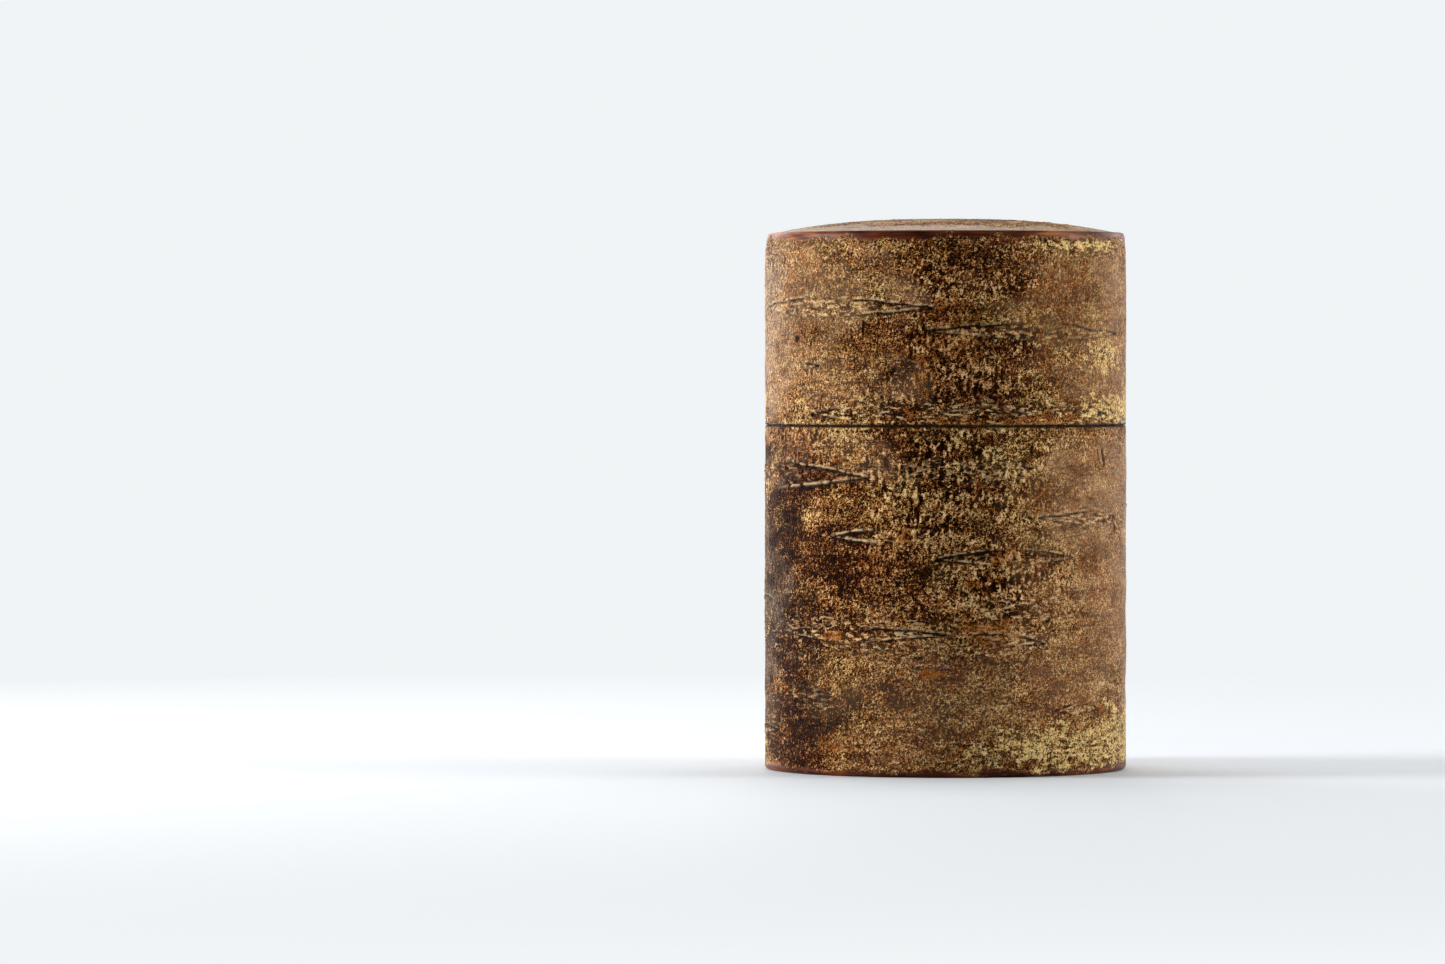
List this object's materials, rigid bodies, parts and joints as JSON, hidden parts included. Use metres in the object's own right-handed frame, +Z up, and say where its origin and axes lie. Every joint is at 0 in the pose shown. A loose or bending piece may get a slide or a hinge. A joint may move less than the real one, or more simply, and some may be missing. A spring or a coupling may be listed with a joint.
{
  "type": "tea caddy",
  "caption": "Round bark-covered tea caddy with a slip-over domed lid on a raised neck and a knobbed inner lid that plugs the mouth.",
  "frame": {"origin": "centre of the flat base, on the surface that the caddy stands on", "axes": "+Z up along the caddy's axis, through the middle of the domed lid; +Y is away from the viewer and +X to the viewer's right"},
  "size_m": [0.082, 0.082, 0.125],
  "materials": {
    "natural_bark": "natural rough cherry bark, oiled, low sheen, with lens-shaped scars and pale lichen",
    "polished_bark": "scraped and polished cherry bark, dark red-brown, glossy, with fine lines round the tube",
    "lining_bark": "smooth bark lining, satin, warm brown",
    "wound_veneer": "pale wound veneer, dry, with its plies showing at the cut end",
    "board_wood": "plain pale board, sanded"
  },
  "bodies": {
    "body": {"body_bark": "natural_bark", "body_core": "wound_veneer", "neck_sheath": "polished_bark", "neck_core": "wound_veneer", "body_lining": "lining_bark", "floor_lining": "lining_bark", "base_board": "board_wood", "base_bark": "polished_bark"},
    "lid": {"lid_bark": "natural_bark", "lid_core": "wound_veneer", "lid_lining": "lining_bark", "lid_top_board": "board_wood", "lid_top_bark": "natural_bark", "lid_ceiling": "lining_bark"},
    "inner_lid": {"inner_lid_board": "board_wood", "inner_lid_face": "polished_bark", "inner_lid_back": "lining_bark", "inner_lid_edge_strip": "polished_bark", "inner_lid_knob": "polished_bark"}
  },
  "joints": [
    {"name": "lid_lift", "type": "slide", "parent": "body", "child": "lid", "axis": [0, 0, 1], "range_m": [0, 0.06]},
    {"name": "inner_lid_lift", "type": "slide", "parent": "body", "child": "inner_lid", "axis": [0, 0, 1], "range_m": [0, 0.009]}
  ]
}
